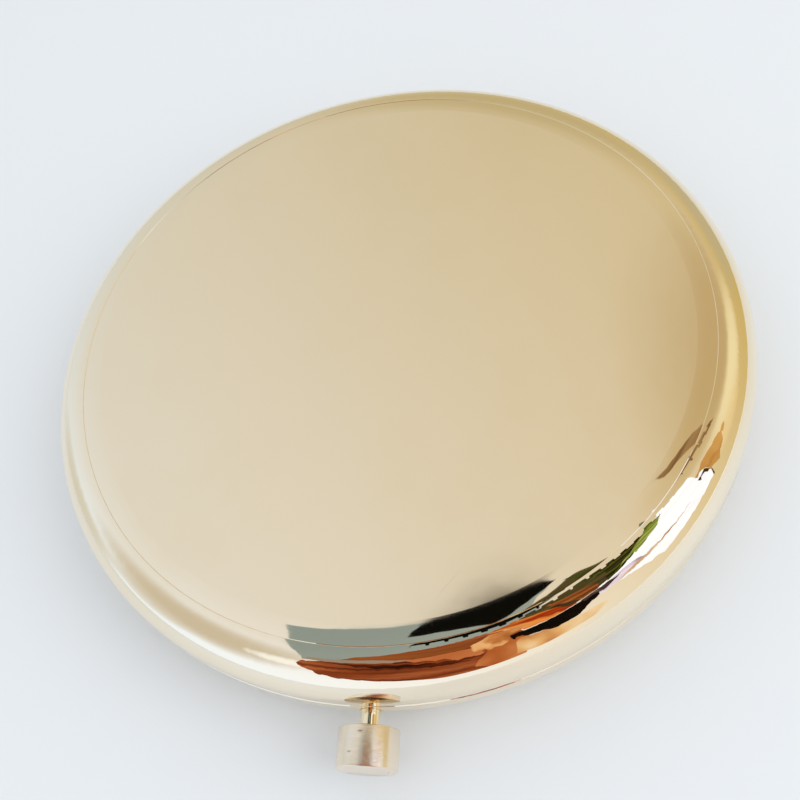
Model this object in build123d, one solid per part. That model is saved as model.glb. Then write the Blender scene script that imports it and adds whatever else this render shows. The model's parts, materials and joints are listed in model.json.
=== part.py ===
from build123d import *
import math
import os

# Round push-button powder compact, closed. Millimetres, +Z up, the case stands on z = 0,
# the case axis is the origin's Z axis, the push button points to -Y and the hinge is at +Y.

# ---- overall sizes ----
case_diameter = 70.0
base_height = 6.2  # resting plane to the seam
lid_height = 4.72  # seam to the edge of the top panel's flat
shoulder_width = 3.8  # crease to the widest edge, seen from above
panel_crown = 0.15  # how far the top panel domes above its flat's edge
roll_width = 1.8  # the panel rolls down over this width to the crease
roll_drop = 0.12
wall = 0.6  # pressed brass
rim_land = 1.0  # straight wall beside the seam, on each half
seam_gap = 0.1
rim_break = 0.12  # broken outer edge of each rim
crease_width = 0.12
crease_depth = 0.02

# ---- clearances ----
touch_gap = 0.05  # between pieces that nearly meet across a joint
running_gap = 0.04  # radial, moving shaft in its hole
slack = 0.1  # between pieces that pass each other
lay_gap = 0.1  # between the loose puff and what is around it

# ---- inner tray, pan and powder ----
sheet = 0.5  # sheet of the inner tray
deck_drop = 0.45  # deck surface below the seam
deck_width = 6.5  # inner wall to the pan well
bead_radius = 0.35
lip_thickness = 0.45
lip_rise = 0.35  # above the seam
glue_thickness = 0.2
pan_sheet = 0.35
pan_wall_height = 2.9
pan_side_gap = 0.3
powder_depth = 2.1
dimple_count = 24
dimple_radius = 2.1
dimple_depth = 0.3
dimple_inset = 3.15  # dimple centres inside the powder's edge

# ---- puff ----
puff_inset = 6.9  # puff's edge inside the pan well
pile_height = 1.7
cover_height = 1.3
cover_edge = 0.4
ribbon_width = 9.0
ribbon_thickness = 0.25

# ---- hinge ----
hinge_inset = 0.6  # hinge axis inside the widest radius
knuckle_radius = 1.1
hinge_length = 14.2
knuckle_count = 5
knuckle_gap = 0.08
pin_radius = 0.45
pin_head = 0.15
notch_gap = 0.2  # case material kept away from the barrel
leaf_sheet = 0.5
base_leaf_reach = 2.05  # from the hinge axis down into the base
lid_opening = 118.0  # degrees, the lid is modelled closed

# ---- push button and catch ----
knob_diameter = 5.26
knob_length = 3.37
knob_standoff = 1.59  # case side to the knob's inner face
knob_bevel = 0.22
stem_diameter = 1.7
stem_drop = 1.35  # stem axis below the seam
button_travel = 1.3
bush_wall = 0.24
bush_inside = 0.7  # bush length inside the case wall
clip_thickness = 0.3
clip_width = 0.6
slide_width = 4.8
slide_height = 2.6
slide_thickness = 0.6
guide_radius = 0.45
catch_width = 4.0
catch_sheet = 0.3
catch_overlap = 0.7  # how far the catch head reaches over the strike
catch_rise = 0.85
strike_reach = 1.0
strike_thickness = 0.5
strike_width = 6.0
spring_length = 2.9
spring_radius = 1.05  # to the wire centre
spring_wire = 0.3
spring_turns = 4.0
bracket_sheet = 0.5
bracket_foot = 1.5
cover_sheet = 0.3
cover_room = 0.1

# ---- mirror and its bezel ----
glass_inset = 4.4  # mirror's edge inside the inner wall
glass_thickness = 1.1
glass_bevel = 0.3
bezel_sheet = 0.4
bezel_cover = 1.1  # bezel overlap on the glass
bezel_wall = 0.4
pad_inset = 4.0  # glue pad's edge inside the mirror's
pad_thickness = 0.4

# ---- derived ----
case_radius = case_diameter / 2
inner_radius = case_radius - wall
panel_radius = case_radius - shoulder_width
well_radius = inner_radius - deck_width
puff_radius = well_radius - puff_inset
glass_radius = inner_radius - glass_inset
seam_z = base_height
top_z = seam_z + lid_height
deck_top = seam_z - deck_drop
hinge_y = case_radius - hinge_inset
stem_z = seam_z - stem_drop
stem_radius = stem_diameter / 2
powder_base = wall + glue_thickness + pan_sheet
powder_top = powder_base + powder_depth
puff_base = powder_top + lay_gap
cover_base = puff_base + pile_height
pad_top = top_z - wall
glass_top = pad_top - pad_thickness
glass_face = glass_top - glass_thickness
bezel_face = glass_face - bezel_sheet
bush_radius = stem_radius + running_gap + bush_wall
bush_end = -(inner_radius - bush_inside)
clip_front = bush_end + touch_gap
slide_front = clip_front + clip_thickness + touch_gap
slide_back = slide_front + slide_thickness
catch_back = slide_back + catch_sheet
spring_end = catch_back + spring_length
guide_end = spring_end - button_travel - 2 * slack  # clear of tray and bracket when pressed
strike_low = seam_z + lip_rise + slack
strike_high = strike_low + strike_thickness
strike_edge = -(inner_radius - strike_reach)
latch_slot_half = slide_width / 2 + 0.4


def half_case(height, crown, inset):
    """One half of the case as a filled solid, its rim plane at z = 0 and its panel upwards."""
    radius = case_radius - inset
    top = height - inset
    flat_radius = panel_radius - roll_width
    edge = rim_break if inset == 0 else 0.0
    side = Line((radius, edge), (radius, rim_land))
    shoulder = EllipticalCenterArc(
        (panel_radius, rim_land),
        radius - panel_radius,
        top - roll_drop - rim_land,
        start_angle=0,
        arc_size=90,
    )
    if crown:
        panel = TangentArc((0, top + crown), (flat_radius, top), tangent=(1, 0))
    else:
        panel = Line((0, top), (flat_radius, top))
    roll = TangentArc((flat_radius, top), (panel_radius, top - roll_drop), tangent=panel % 1)
    bottom = Line((0, 0), (radius - edge, 0))
    outline = [side, shoulder, roll, panel, bottom, Line((0, 0), (0, top + crown))]
    if edge:
        outline.append(Line((radius - edge, 0), (radius, edge)))
    return revolve(Plane.XZ * make_face(outline), Axis.Z)


def crease(height):
    """The ring cut between panel and shoulder to leave a fine coined line."""
    level = height - roll_drop
    groove = Polyline(
        (panel_radius - crease_width / 2, level + crease_depth),
        (panel_radius + crease_width / 2, level + crease_depth),
        (panel_radius, level - crease_depth),
        close=True,
    )
    return revolve(Plane.XZ * make_face(groove), Axis.Z)


def ring(outer, inner, low, high):
    """A flat washer or short tube about the case axis."""
    height = high - low
    tube = Cylinder(outer, height) - Cylinder(inner, height + 1)
    return Pos(0, 0, (low + high) / 2) * tube


def disc(radius, low, high):
    """A flat disc about the case axis."""
    return Pos(0, 0, (low + high) / 2) * Cylinder(radius, high - low)


def block(x, y, z):
    """A box given by its low and high limits on each axis."""
    size = [limits[1] - limits[0] for limits in (x, y, z)]
    middle = [sum(limits) / 2 for limits in (x, y, z)]
    return Pos(*middle) * Box(*size)


def rod_x(radius, low, high, y, z):
    """A round bar along X."""
    bar = Rot(0, 90, 0) * Cylinder(radius, high - low)
    return Pos((low + high) / 2, y, z) * bar


def rod_y(radius, low, high):
    """A round bar along Y on the push button's axis."""
    bar = Rot(90, 0, 0) * Cylinder(radius, high - low)
    return Pos(0, (low + high) / 2, stem_z) * bar


def in_base(solid):
    """Turns a half modelled rim down into the base, rim up at the seam."""
    return Pos(0, 0, seam_z - seam_gap / 2) * Rot(180, 0, 0) * solid


def in_lid(solid):
    """Lifts a half modelled rim down onto the seam."""
    return Pos(0, 0, seam_z + seam_gap / 2) * solid


# ---- case halves ----
base_rise = base_height - seam_gap / 2
lid_rise = lid_height - seam_gap / 2
base_room = in_base(half_case(base_rise, 0, wall))
lid_room = in_lid(half_case(lid_rise, panel_crown, wall))
notch = rod_x(
    knuckle_radius + notch_gap,
    -hinge_length / 2 - 2 * notch_gap,
    hinge_length / 2 + 2 * notch_gap,
    hinge_y,
    seam_z,
)

base_solid = in_base(half_case(base_rise, 0, 0) - crease(base_rise))
base_shell = base_solid - base_room - notch - rod_y(bush_radius, -case_radius - 1, bush_end)
lid_shell = in_lid(half_case(lid_rise, panel_crown, 0) - crease(lid_rise)) - lid_room - notch

# ---- inner tray: deck, rolled bead and pan well, with a slot for the catch ----
deck_low = deck_top - sheet
deck = ring(inner_radius, well_radius, deck_low, deck_top)
well = ring(well_radius + sheet, well_radius, wall, deck_top)
bead_line = Pos(well_radius + bead_radius, deck_top) * Circle(bead_radius)
bead = revolve(Plane.XZ * bead_line, Axis.Z)
latch_slot = block(
    (-latch_slot_half, latch_slot_half),
    (-case_radius, spring_end - slack),
    (deck_low - 1, deck_top + 1),
)
leaf_slot = block(
    (-hinge_length / 2 - notch_gap, hinge_length / 2 + notch_gap),
    (hinge_y - knuckle_radius - notch_gap, case_radius),
    (deck_low - 1, seam_z + 1),
)
inner_tray = (deck + well + bead) - latch_slot - leaf_slot

# ---- locating lip that stands inside the lid's rim ----
lip_outer = inner_radius - slack
base_lip = ring(lip_outer, lip_outer - lip_thickness, deck_top, seam_z + lip_rise)
bush_room = bush_radius + slack
base_lip -= block((-bush_room, bush_room), (-case_radius, 0), (deck_top - 1, stem_z + bush_room))
base_lip -= leaf_slot

# ---- pan, glue and pressed powder ----
pan_outer = well_radius - pan_side_gap
pan_inner = pan_outer - pan_sheet
pan_low = wall + glue_thickness
pan_adhesive = disc(pan_outer - 2, wall, pan_low)
powder_pan = disc(pan_outer, pan_low, pan_low + pan_wall_height)
powder_pan -= disc(pan_inner, powder_base, pan_low + pan_wall_height + 1)
powder_cake = disc(pan_inner, powder_base, powder_top)
dimple = Pos(0, 0, powder_top + dimple_radius - dimple_depth) * Sphere(dimple_radius)
for place in PolarLocations(pan_inner - dimple_inset, dimple_count):
    powder_cake -= place * dimple

# ---- puff: pile, satin cover and ribbon ----
puff_pile = disc(puff_radius, puff_base, cover_base)
puff_pile = fillet(puff_pile.edges().sort_by(Axis.Z)[0], pile_height / 2)
cover_top = cover_base + cover_height
cover_rim = (puff_radius, cover_base + cover_edge)
cover_line = [
    Line((0, cover_base), (puff_radius, cover_base)),
    Line((puff_radius, cover_base), cover_rim),
    TangentArc((0, cover_top), cover_rim, tangent=(1, 0)),
    Line((0, cover_base), (0, cover_top)),
]
puff_cover = revolve(Plane.XZ * make_face(cover_line), Axis.Z)


def ribbon_arc(rise):
    """The ribbon's arch across the puff, in the plane y = 0."""
    ends = cover_base + cover_edge + rise
    return ThreePointArc((-puff_radius, ends), (0, cover_top + rise), (puff_radius, ends))


ribbon_low = ribbon_arc(lay_gap)
ribbon_high = ribbon_arc(lay_gap + ribbon_thickness)
ribbon_ends = [Line(ribbon_low @ 0, ribbon_high @ 0), Line(ribbon_low @ 1, ribbon_high @ 1)]
ribbon_face = make_face([ribbon_low, ribbon_high, *ribbon_ends])
puff_ribbon = extrude(Plane.XZ * ribbon_face, ribbon_width / 2, both=True)

# ---- hinge: five knuckles, alternately base and lid, on one pin ----
knuckle_width = (hinge_length - (knuckle_count - 1) * knuckle_gap) / knuckle_count
leaf_half = hinge_length / 2 - slack


def knuckle(number, reach, room, bore):
    """One knuckle with the web that runs from it along the inside of its half."""
    low = -hinge_length / 2 + number * (knuckle_width + knuckle_gap)
    high = low + knuckle_width
    web_z = sorted((seam_z, seam_z + reach))
    web_y = (hinge_y - knuckle_radius, hinge_y - knuckle_radius + leaf_sheet)
    web = block((low, high), web_y, web_z) & room
    body = rod_x(knuckle_radius, low, high, hinge_y, seam_z) + web
    return body - rod_x(bore, low - 1, high + 1, hinge_y, seam_z)


def leaf(reach, room, bore, numbers):
    """A hinge leaf: the strap against the case wall and its knuckles; reach is up or down."""
    near = seam_z + math.copysign(knuckle_radius + notch_gap, reach)
    strap_z = sorted((near, seam_z + reach))
    strap = ring(inner_radius, inner_radius - 2 * leaf_sheet, *strap_z) & room
    strap &= block((-leaf_half, leaf_half), (0, case_radius), strap_z)
    for number in numbers:
        strap += knuckle(number, reach, room, bore)
    return strap


lid_reach = bezel_face - touch_gap - seam_z
hinge_base_leaf = leaf(-base_leaf_reach, base_room, pin_radius, range(0, knuckle_count, 2))
hinge_lid_leaf = leaf(lid_reach, lid_room, pin_radius + running_gap, range(1, knuckle_count, 2))
pin_half = hinge_length / 2
hinge_pin = rod_x(pin_radius, -pin_half, pin_half, hinge_y, seam_z)
hinge_pin += rod_x(pin_radius + pin_head, -pin_half - pin_head, -pin_half, hinge_y, seam_z)
hinge_pin += rod_x(pin_radius + pin_head, pin_half, pin_half + pin_head, hinge_y, seam_z)

# ---- mirror, its bezel and its glue pad ----
bezel_inner = glass_radius - bezel_cover
bezel_wall_inner = glass_radius + touch_gap
lid_bezel = ring(inner_radius, bezel_inner, bezel_face, glass_face) & lid_room
lid_bezel += ring(
    bezel_wall_inner + bezel_wall, bezel_wall_inner, bezel_face, glass_top - glass_bevel
)
bezel_bead = Pos(bezel_inner + bezel_sheet / 2, bezel_face) * Circle(bezel_sheet / 2)
lid_bezel += revolve(Plane.XZ * bezel_bead, Axis.Z)
mirror_glass = disc(glass_radius, glass_face, glass_top)
mirror_glass = chamfer(mirror_glass.edges().filter_by(GeomType.CIRCLE), glass_bevel)
mirror_pad = disc(glass_radius - pad_inset, glass_top, top_z) & lid_room

# ---- strike: the ledge inside the lid's front wall ----
lid_strike = ring(inner_radius, -strike_edge, strike_low, strike_high)
lid_strike &= block(
    (-strike_width / 2, strike_width / 2), (-case_radius, 0), (strike_low, strike_high)
)

# ---- push button ----
knob_inner = -case_radius - knob_standoff
button_knob = rod_y(knob_diameter / 2, knob_inner - knob_length, knob_inner)
knob_edges = button_knob.edges().filter_by(GeomType.CIRCLE).sort_by(Axis.Y)
button_knob = chamfer(knob_edges[0], knob_bevel)
button_knob = chamfer(button_knob.edges().filter_by(GeomType.CIRCLE).sort_by(Axis.Y)[-1], rim_break)
button_stem = rod_y(stem_radius, knob_inner, slide_front)
button_stem += rod_y(guide_radius, slide_front, guide_end)

stem_bush = rod_y(bush_radius, -case_radius, bush_end)
stem_bush -= rod_y(stem_radius + running_gap, -case_radius - 1, bush_end + 1)

clip_y = (clip_front, clip_front + clip_thickness)
stem_clip = rod_y(stem_radius + clip_width, *clip_y) - rod_y(stem_radius, *clip_y)
stem_clip -= block(
    (-stem_radius / 2, stem_radius / 2), clip_y, (stem_z - stem_radius - clip_width, stem_z)
)

# ---- slide, spring catch, coil spring and the bracket behind it ----
catch_slide = block(
    (-slide_width / 2, slide_width / 2),
    (slide_front, slide_back),
    (deck_low - slack - slide_height, deck_low - slack),
)
catch_slide -= rod_y(guide_radius, slide_front - 1, slide_back + 1)

head_low = strike_high + touch_gap
head_tip = strike_edge - catch_overlap
head_line = Polyline(
    (catch_back, deck_low - slack - slide_height),
    (catch_back, head_low + catch_rise),
    (catch_back - 2 * catch_sheet, head_low + catch_rise),
    (head_tip, head_low + catch_sheet / 2),
    (head_tip, head_low),
    (slide_back, head_low),
    (slide_back, deck_low - slack - slide_height),
    close=True,
)
catch_spring = extrude(Plane.YZ * make_face(head_line), catch_width / 2, both=True)
catch_spring -= rod_y(guide_radius, slide_back - 1, catch_back + 1)

pitch = (spring_length - spring_wire - 2 * touch_gap) / spring_turns
coil = Helix(pitch, pitch * spring_turns, spring_radius)
wire = Plane(coil @ 0, z_dir=coil % 0) * Circle(spring_wire / 2)
coil_start = catch_back + touch_gap + spring_wire / 2
button_spring = Pos(0, coil_start, stem_z) * Rot(-90, 0, 0) * sweep(wire, path=coil)

bracket_x = (-slide_width / 2, slide_width / 2)
spring_bracket = block(bracket_x, (spring_end, spring_end + bracket_sheet), (wall, deck_low))
spring_bracket += block(
    bracket_x, (spring_end - bracket_foot, spring_end), (wall, wall + bracket_sheet)
)
spring_bracket &= base_room

cover_roof = stem_z + spring_radius + spring_wire / 2 + cover_room
cover_y = (catch_back + button_travel + slack, spring_end + bracket_sheet)
cover_half = latch_slot_half + cover_sheet
latch_cover = block((-cover_half, cover_half), cover_y, (deck_top, cover_roof + cover_sheet))
latch_cover = fillet(latch_cover.edges().filter_by(Axis.Y).group_by(Axis.Z)[-1], cover_sheet)
latch_cover -= block(
    (-latch_slot_half, latch_slot_half),
    (cover_y[0] - 1, cover_y[1] - cover_sheet),
    (deck_top - 1, cover_roof),
)

nodes = {
    "base_shell": base_shell,
    "inner_tray": inner_tray,
    "base_lip": base_lip,
    "pan_adhesive": pan_adhesive,
    "powder_pan": powder_pan,
    "powder_cake": powder_cake,
    "puff_pile": puff_pile,
    "puff_cover": puff_cover,
    "puff_ribbon": puff_ribbon,
    "hinge_base_leaf": hinge_base_leaf,
    "hinge_lid_leaf": hinge_lid_leaf,
    "hinge_pin": hinge_pin,
    "stem_bush": stem_bush,
    "spring_bracket": spring_bracket,
    "latch_cover": latch_cover,
    "button_knob": button_knob,
    "button_stem": button_stem,
    "stem_clip": stem_clip,
    "catch_slide": catch_slide,
    "catch_spring": catch_spring,
    "button_spring": button_spring,
    "lid_shell": lid_shell,
    "lid_bezel": lid_bezel,
    "mirror_glass": mirror_glass,
    "mirror_pad": mirror_pad,
    "lid_strike": lid_strike,
}

os.makedirs("parts", exist_ok=True)
for name, solid in nodes.items():
    export_step(solid, f"parts/{name}.step")
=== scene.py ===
"""A round push-button powder compact: finishes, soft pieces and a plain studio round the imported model."""

import json
import logging
import math
import random
from dataclasses import dataclass, field
from enum import Enum
from typing import Sequence

import bmesh
import bpy
from mathutils import Matrix, Vector, noise


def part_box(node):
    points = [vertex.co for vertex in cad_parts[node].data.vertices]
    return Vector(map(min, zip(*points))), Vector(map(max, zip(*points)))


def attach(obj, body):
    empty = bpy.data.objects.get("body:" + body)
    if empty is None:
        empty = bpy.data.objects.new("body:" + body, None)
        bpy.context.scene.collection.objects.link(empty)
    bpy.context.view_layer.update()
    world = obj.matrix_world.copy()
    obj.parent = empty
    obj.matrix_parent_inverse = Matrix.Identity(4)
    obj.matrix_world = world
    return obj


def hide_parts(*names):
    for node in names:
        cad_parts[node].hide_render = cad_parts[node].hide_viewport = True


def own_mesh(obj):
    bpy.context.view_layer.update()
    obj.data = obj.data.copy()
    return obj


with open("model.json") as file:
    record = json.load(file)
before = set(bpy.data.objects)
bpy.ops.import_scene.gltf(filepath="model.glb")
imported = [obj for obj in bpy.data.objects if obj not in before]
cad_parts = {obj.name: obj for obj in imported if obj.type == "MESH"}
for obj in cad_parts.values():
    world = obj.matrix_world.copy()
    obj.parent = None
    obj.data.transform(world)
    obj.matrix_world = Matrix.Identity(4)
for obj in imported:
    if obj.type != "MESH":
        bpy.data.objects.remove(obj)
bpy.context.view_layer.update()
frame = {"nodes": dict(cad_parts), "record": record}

LOG = logging.getLogger("powder_compact")
MM = 0.001

Colour = tuple[float, float, float]


class Shade:
    """A shader socket that can be used in arithmetic; each operator adds one Math node."""

    def __init__(self, tree: "Finisher", socket: bpy.types.NodeSocket) -> None:
        """Keeps the socket and the tree it belongs to.

        Args:
            tree: the node tree helper that new nodes go into.
            socket: the output socket whose value this stands for.
        """
        self.tree = tree
        self.socket = socket

    def _math(self, operation: str, *values: "Shade | float") -> "Shade":
        """Adds a Math node on these values."""
        return self.tree.node("ShaderNodeMath", {"operation": operation}, values)

    def __add__(self, other: "Shade | float") -> "Shade":
        """Sum."""
        return self._math("ADD", self, other)

    def __radd__(self, other: float) -> "Shade":
        """Sum, number first."""
        return self._math("ADD", other, self)

    def __sub__(self, other: "Shade | float") -> "Shade":
        """Difference."""
        return self._math("SUBTRACT", self, other)

    def __rsub__(self, other: float) -> "Shade":
        """Difference, number first."""
        return self._math("SUBTRACT", other, self)

    def __mul__(self, other: "Shade | float") -> "Shade":
        """Product."""
        return self._math("MULTIPLY", self, other)

    def __rmul__(self, other: float) -> "Shade":
        """Product, number first."""
        return self._math("MULTIPLY", other, self)

    def __truediv__(self, other: "Shade | float") -> "Shade":
        """Quotient."""
        return self._math("DIVIDE", self, other)

    def __pow__(self, other: float) -> "Shade":
        """Power."""
        return self._math("POWER", self, other)

    def sine(self) -> "Shade":
        """Sine."""
        return self._math("SINE", self)

    def smooth(self, low: float, high: float) -> "Shade":
        """A soft step from 0 at low to 1 at high."""
        limits = {"Value": self, "From Min": low, "From Max": high}
        return self.tree.node("ShaderNodeMapRange", {"interpolation_type": "SMOOTHSTEP"}, limits)

    def clamp(self) -> "Shade":
        """The value held between 0 and 1."""
        return self.tree.node("ShaderNodeClamp", {}, (self, 0.0, 1.0))


class Finisher:
    """Builds one material's node tree."""

    def __init__(self, name: str) -> None:
        """Starts an empty material with one Principled shader.

        Args:
            name: the material's name.
        """
        self.material = bpy.data.materials.new(name)
        self.material.use_nodes = True
        self.nodes = self.material.node_tree.nodes
        self.links = self.material.node_tree.links
        self.shader = self.nodes["Principled BSDF"]

    def node(
        self,
        kind: str,
        settings: dict[str, object] | None = None,
        values: Sequence[object] | dict[str, object] = (),
        output: int | str = 0,
    ) -> Shade:
        """Adds a node, sets it, and fills its inputs.

        Args:
            kind: the node's type name.
            settings: attributes of the node; "ramp" gives a ramp's (position, colour) stops.
            values: socket values or links, in order or by socket name.
            output: which output to return.

        Returns:
            The chosen output socket.
        """
        made = self.nodes.new(kind)
        for key, value in (settings or {}).items():
            if key == "ramp":
                self._ramp(made, value)
            else:
                setattr(made, key, value)
        pairs = values.items() if isinstance(values, dict) else enumerate(values)
        for key, value in pairs:
            self.put(made.inputs[key], value)
        return Shade(self, made.outputs[output])

    @staticmethod
    def _ramp(made: bpy.types.Node, stops: Sequence[tuple[float, Colour]]) -> None:
        """Sets a ColorRamp's stops.

        Args:
            made: the ramp node.
            stops: (position, colour) pairs, at least two.
        """
        ramp = made.color_ramp
        while len(ramp.elements) < len(stops):
            ramp.elements.new(0.5)
        for element, (place, colour) in zip(ramp.elements, stops):
            element.position = place
            element.color = (*colour, 1.0)

    def put(self, socket: bpy.types.NodeSocket, value: object) -> None:
        """Links a Shade to a socket, or sets the socket's own value."""
        if isinstance(value, Shade):
            self.links.new(value.socket, socket)
        elif value is not None:
            if socket.type == "RGBA" and len(value) == 3:
                value = (*value, 1.0)
            socket.default_value = value

    def set(self, **sockets: object) -> None:
        """Fills the shader's own sockets; underscores in a name stand for spaces."""
        for name, value in sockets.items():
            self.put(self.shader.inputs[name.replace("_", " ")], value)

    def place(
        self, scale: float = 1.0, squeeze: tuple[float, float, float] = (1, 1, 1), turn: float = 0.0
    ) -> Shade:
        """Object coordinates, turned about Z and scaled.

        Args:
            scale: how many pattern units there are in one metre.
            squeeze: a further scale for each axis.
            turn: a turn about Z, in degrees.

        Returns:
            The coordinate socket.
        """
        where = self.node("ShaderNodeTexCoord", {}, (), "Object")
        if turn:
            spun = {"Vector": where, "Rotation": (0, 0, math.radians(turn))}
            where = self.node("ShaderNodeMapping", {}, spun)
        size = tuple(scale * s for s in squeeze)
        return self.node("ShaderNodeMapping", {}, {"Vector": where, "Scale": size})

    def axes(self, where: Shade) -> tuple[Shade, Shade, Shade]:
        """The three numbers of a vector.

        Args:
            where: the vector's socket.

        Returns:
            Its x, y and z sockets.
        """
        split = self.nodes.new("ShaderNodeSeparateXYZ")
        self.put(split.inputs[0], where)
        x, y, z = (Shade(self, out) for out in split.outputs)
        return x, y, z

    def vector(self, x: Shade | float, y: Shade | float, z: Shade | float) -> Shade:
        """A vector from three numbers."""
        return self.node("ShaderNodeCombineXYZ", {}, (x, y, z))

    def mix(self, factor: Shade | float, first: object, second: object) -> Shade:
        """Mixes two colours.

        Args:
            factor: 0 for the first, 1 for the second.
            first: a colour or its socket.
            second: a colour or its socket.

        Returns:
            The mixed colour's socket.
        """
        made = self.nodes.new("ShaderNodeMix")
        made.data_type = "RGBA"
        for key, value in (("Factor_Float", factor), ("A_Color", first), ("B_Color", second)):
            self.put(next(s for s in made.inputs if s.identifier == key), value)
        out = next(s for s in made.outputs if s.identifier == "Result_Color")
        return Shade(self, out)

    def noise(self, where: Shade, detail: float = 3.0, rough: float = 0.5) -> Shade:
        """A noise value from 0 to 1 at one pattern unit's scale."""
        return self.node(
            "ShaderNodeTexNoise", {}, {"Vector": where, "Scale": 1.0, "Detail": detail, "Roughness": rough}
        )

    def bump(self, height: Shade, strength: float, distance: float) -> Shade:
        """A bump normal from a height."""
        return self.node(
            "ShaderNodeBump", {}, {"Strength": strength, "Distance": distance, "Height": height}
        )


class Pattern(Enum):
    """How a card in the studio is coloured."""

    PLAIN = "plain"
    FOLDS = "folds"


@dataclass(frozen=True)
class Card:
    """A coloured card that only the polish sees.

    Corners are directions as (azimuth, elevation) in degrees, azimuth 0 towards -Y and growing towards +X.
    """

    name: str
    corners: tuple[tuple[float, float], ...]
    colours: tuple[Colour, ...]
    pattern: Pattern = Pattern.PLAIN
    distance: float = 0.6
    fold: float = 16.0
    squeeze: tuple[float, float, float] = (1.0, 0.16, 0.16)

    def finish(self) -> bpy.types.Material:
        """Builds the card's glowing material.

        Returns:
            The material, in the card's pattern.
        """
        f = Finisher(self.name)
        colour: object = self.colours[0]
        if self.pattern is Pattern.FOLDS:
            last = len(self.colours) - 1
            stops = [(0.34 + 0.32 * i / last, c) for i, c in enumerate(self.colours)]
            middle = sum(azimuth for azimuth, _ in self.corners) / len(self.corners)
            fold = f.noise(f.place(self.fold, self.squeeze, -middle), 2.0)
            colour = f.node("ShaderNodeValToRGB", {"ramp": stops}, (fold,))
        f.set(Base_Color=(0, 0, 0), Specular_IOR_Level=0.0, Emission_Color=colour, Emission_Strength=1.0)
        return f.material

    def build(self) -> bpy.types.Object:
        """Lays the card on its sphere and hides it from everything but reflections.

        Returns:
            The card's object.
        """
        shape = bmesh.new()
        spots = [
            bmesh.ops.create_vert(shape, co=towards(*corner) * self.distance)["vert"][0]
            for corner in self.corners
        ]
        bmesh.ops.contextual_create(shape, geom=spots)
        bmesh.ops.triangulate(shape, faces=shape.faces[:])
        bmesh.ops.subdivide_edges(shape, edges=shape.edges[:], cuts=7, use_grid_fill=True)
        for vert in shape.verts:
            vert.co = vert.co.normalized() * self.distance
        return mirrored_only(self.name, shape, self.finish())


def towards(azimuth: float, elevation: float) -> Vector:
    """The direction of an azimuth and an elevation in degrees, azimuth 0 towards -Y."""
    az, el = math.radians(azimuth), math.radians(elevation)
    return Vector((math.sin(az) * math.cos(el), -math.cos(az) * math.cos(el), math.sin(el)))


def mirrored_only(name: str, shape: bmesh.types.BMesh, material: bpy.types.Material) -> bpy.types.Object:
    """Makes a stage object that shows in reflections and nowhere else.

    Args:
        name: the object's name.
        shape: its mesh, which is freed.
        material: its finish.

    Returns:
        The object.
    """
    mesh = bpy.data.meshes.new(name)
    shape.to_mesh(mesh)
    shape.free()
    mesh.materials.append(material)
    made = bpy.data.objects.new(name, mesh)
    bpy.context.scene.collection.objects.link(made)
    made.visible_camera = made.visible_diffuse = made.visible_shadow = False
    made.visible_transmission = False
    return made


@dataclass(frozen=True)
class Glow:
    """A soft round patch on the dome: its direction, half width in degrees and colour."""

    azimuth: float
    elevation: float
    width: float
    colour: Colour
    strength: float = 1.0


@dataclass(frozen=True)
class Dome:
    """The plain room round the table, as the polish sees it: a level that drifts with direction."""

    level: Colour = (0.78, 0.785, 0.745)
    to_right: Colour = (-0.05, -0.17, -0.38)
    to_back: Colour = (-0.19, -0.26, -0.41)
    upwards: Colour = (0.05, 0.01, -0.01)
    glows: tuple[Glow, ...] = (
        Glow(-62, 41, 31, (0.60, 0.53, 0.40), 0.9),
        Glow(-38, 44, 10, (1.00, 1.05, 1.10)),
        Glow(178, 24, 22, (0.54, 0.46, 0.27), 0.9),
        Glow(145, 13, 20, (0.54, 0.49, 0.33), 0.9),
        Glow(122, 40, 18, (0.92, 0.84, 0.56), 0.9),
        Glow(142, 58, 16, (0.63, 0.50, 0.27), 0.9),
        Glow(104, 32, 14, (0.88, 0.73, 0.42), 0.7),
        Glow(151, 54, 14, (0.50, 0.37, 0.19), 0.6),
        Glow(-68, 17, 15, (0.66, 0.62, 0.52), 0.6),
        Glow(-92, 6, 20, (0.66, 0.64, 0.55), 0.8),
    )
    radius: float = 1.2

    def build(self) -> bpy.types.Object:
        """Builds the dome.

        Returns:
            The dome's object.
        """
        f = Finisher("room_glow")
        away = f.node(
            "ShaderNodeVectorMath", {"operation": "NORMALIZE"}, (f.place(),), "Vector"
        )
        x, y, z = f.axes(away)
        channels = [
            self.level[i] + self.to_right[i] * x + self.to_back[i] * y + self.upwards[i] * z for i in range(3)
        ]
        colour = f.node("ShaderNodeCombineColor", {}, channels)
        for glow in self.glows:
            centre = tuple(towards(glow.azimuth, glow.elevation))
            near = f.node("ShaderNodeVectorMath", {"operation": "DOT_PRODUCT"}, (away, centre), "Value")
            mask = near.smooth(math.cos(math.radians(glow.width)), 1.0)
            colour = f.mix(glow.strength * mask, colour, glow.colour)
        f.set(Base_Color=(0, 0, 0), Specular_IOR_Level=0.0, Emission_Color=colour, Emission_Strength=1.0)
        shape = bmesh.new()
        bmesh.ops.create_icosphere(shape, subdivisions=4, radius=self.radius)
        return mirrored_only("room_dome", shape, f.material)


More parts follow.
